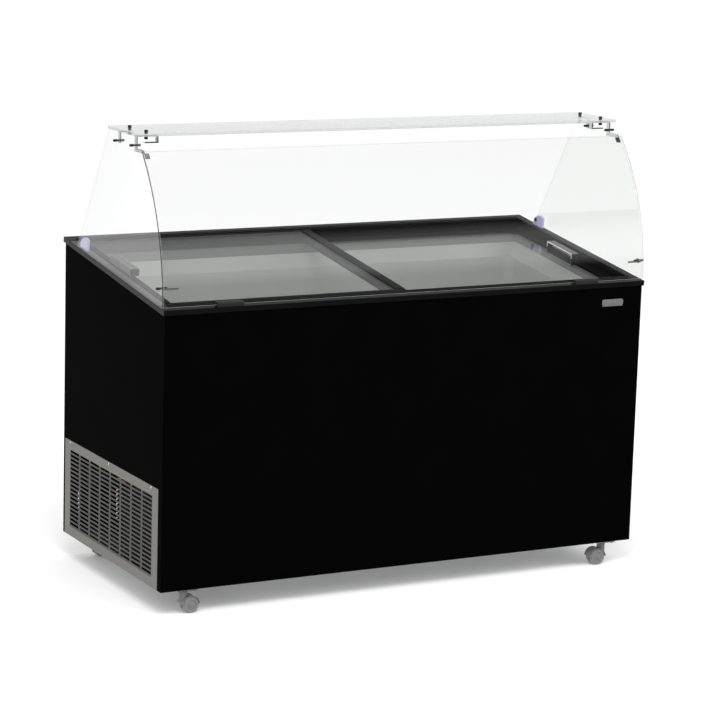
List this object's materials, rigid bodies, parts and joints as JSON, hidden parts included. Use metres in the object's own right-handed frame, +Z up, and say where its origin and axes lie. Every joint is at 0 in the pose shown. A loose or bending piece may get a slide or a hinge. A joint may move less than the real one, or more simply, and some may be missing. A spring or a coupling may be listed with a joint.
{
  "type": "ice cream scooping chest freezer",
  "caption": "Black chest freezer with an inclined top, two sliding glass lids on two levels, a bolted curved-glass canopy, a side machine grille and swivel casters.",
  "frame": {"origin": "on the floor under the middle of the cabinet", "axes": "+X to the right seen from the front (customer) side, +Y to the back (server) side, +Z up"},
  "size_m": [1.522, 0.6999, 1.283],
  "materials": {
    "black_sheet": "satin black powder coat",
    "galvanised": "galvanised sheet",
    "foam": null,
    "liner_metal": "embossed pre-painted aluminium",
    "rail_plastic": "semi-gloss black extrusion",
    "collar_plastic": "dark grey moulding",
    "lid_frame_black": "black lid profile",
    "lid_glass": "clear low-emission lid glass",
    "handle_grey": "satin grey extrusion",
    "brush_seal": "black brush pile",
    "canopy_glass": "clear polished tempered glass",
    "bracket_steel": "dark coated steel strip",
    "dark_bolt": "blackened steel",
    "shoe_black": "black moulded clamp",
    "lavender_plastic": "pale lavender moulding",
    "badge_grey": "brushed blank plate",
    "grille_grey": "warm grey powder coat",
    "screw_zinc": "zinc plated",
    "compressor_paint": "black baked enamel",
    "rubber": "moulded rubber",
    "fin_aluminium": "mill finish fins",
    "copper": "drawn copper tube",
    "fan_plastic": "glass filled nylon",
    "motor_grey": "grey die-cast",
    "tray_black": "textured black moulding",
    "drain_white": "white tube",
    "caster_plastic": "grey nylon",
    "wheel_plastic": "grey nylon tread",
    "caster_steel": "zinc plated"
  },
  "bodies": {
    "cabinet": {"badge_plate": "badge_grey", "base_pan": "galvanised", "canopy_bolts": "dark_bolt", "caster_plates": "caster_steel", "compressor": "compressor_paint", "compressor_mounts": "rubber", "condenser": "fin_aluminium", "corner_connectors": "bracket_steel", "discharge_pipe": "copper", "drain_tube": "drain_white", "evaporator_coil": "copper", "fan_motor": "motor_grey", "fan_shroud": "motor_grey", "filter_drier": "copper", "foam_insulation": "foam", "front_glass": "canopy_glass", "front_glass_shoes": "shoe_black", "front_panel": "black_sheet", "front_top_rail": "rail_plastic", "grille_screws": "screw_zinc", "inner_liner": "liner_metal", "left_panel": "black_sheet", "left_side_glass": "canopy_glass", "left_top_rail": "rail_plastic", "liquid_pipe": "copper", "lower_corner_clips": "bracket_steel", "machine_wall": "galvanised", "mains_gland": "tray_black", "rear_glass_holders": "lavender_plastic", "rear_panel": "black_sheet", "rear_top_clamps": "bracket_steel", "rear_top_rail": "rail_plastic", "right_panel": "black_sheet", "right_side_glass": "canopy_glass", "right_top_rail": "rail_plastic", "service_recess": "tray_black", "side_grille": "grille_grey", "suction_pipe": "copper", "terminal_cover": "compressor_paint", "thermostat": "fan_plastic", "throat_collar": "collar_plastic", "top_glass": "canopy_glass"},
    "left_lid": {"left_lid_frame": "lid_frame_black", "left_lid_glass": "lid_glass", "left_lid_handle": "handle_grey"},
    "right_lid": {"right_lid_frame": "lid_frame_black", "right_lid_glass": "lid_glass", "right_lid_handle": "handle_grey", "lid_gap_seal": "brush_seal"},
    "condenser_fan": {"fan_blade": "fan_plastic"},
    "thermostat_dial": {"thermostat_knob": "tray_black"},
    "tub_drain_plug": {"drain_plug": "rubber"},
    "caster_front_left": {"caster_hood_front_left": "caster_plastic"},
    "wheels_front_left": {"caster_wheels_front_left": "wheel_plastic"},
    "caster_front_right": {"caster_hood_front_right": "caster_plastic"},
    "wheels_front_right": {"caster_wheels_front_right": "wheel_plastic"},
    "caster_rear_left": {"caster_hood_rear_left": "caster_plastic"},
    "wheels_rear_left": {"caster_wheels_rear_left": "wheel_plastic"},
    "caster_rear_right": {"caster_hood_rear_right": "caster_plastic"},
    "wheels_rear_right": {"caster_wheels_rear_right": "wheel_plastic"}
  },
  "joints": [
    {"name": "left_lid_slide", "type": "slide", "parent": "cabinet", "child": "left_lid", "axis": [1, 0, 0], "range_m": [0, 0.69]},
    {"name": "right_lid_slide", "type": "slide", "parent": "cabinet", "child": "right_lid", "axis": [1, 0, 0], "range_m": [-0.685, 0]},
    {"name": "condenser_fan_spin", "type": "hinge", "parent": "cabinet", "child": "condenser_fan", "pos_m": [-0.675, -0.175, 0.2], "axis": [1, 0, 0], "continuous": true},
    {"name": "thermostat_turn", "type": "hinge", "parent": "cabinet", "child": "thermostat_dial", "pos_m": [-0.66, 0.33, 0.235], "axis": [0, 1, 0], "range_deg": [-150, 150]},
    {"name": "drain_plug_pull", "type": "slide", "parent": "cabinet", "child": "tub_drain_plug", "axis": [0, 0, 1], "range_m": [0, 0.05]},
    {"name": "swivel_front_left", "type": "hinge", "parent": "cabinet", "child": "caster_front_left", "pos_m": [-0.666, -0.315, 0.065], "axis": [0, 0, 1], "continuous": true},
    {"name": "roll_front_left", "type": "hinge", "parent": "caster_front_left", "child": "wheels_front_left", "pos_m": [-0.648, -0.315, 0.0225], "axis": [0, 1, 0], "continuous": true},
    {"name": "swivel_front_right", "type": "hinge", "parent": "cabinet", "child": "caster_front_right", "pos_m": [0.666, -0.315, 0.065], "axis": [0, 0, 1], "continuous": true},
    {"name": "roll_front_right", "type": "hinge", "parent": "caster_front_right", "child": "wheels_front_right", "pos_m": [0.648, -0.315, 0.0225], "axis": [0, 1, 0], "continuous": true},
    {"name": "swivel_rear_left", "type": "hinge", "parent": "cabinet", "child": "caster_rear_left", "pos_m": [-0.666, 0.3, 0.065], "axis": [0, 0, 1], "continuous": true},
    {"name": "roll_rear_left", "type": "hinge", "parent": "caster_rear_left", "child": "wheels_rear_left", "pos_m": [-0.648, 0.3, 0.0225], "axis": [0, 1, 0], "continuous": true},
    {"name": "swivel_rear_right", "type": "hinge", "parent": "cabinet", "child": "caster_rear_right", "pos_m": [0.666, 0.3, 0.065], "axis": [0, 0, 1], "continuous": true},
    {"name": "roll_rear_right", "type": "hinge", "parent": "caster_rear_right", "child": "wheels_rear_right", "pos_m": [0.648, 0.3, 0.0225], "axis": [0, 1, 0], "continuous": true}
  ]
}
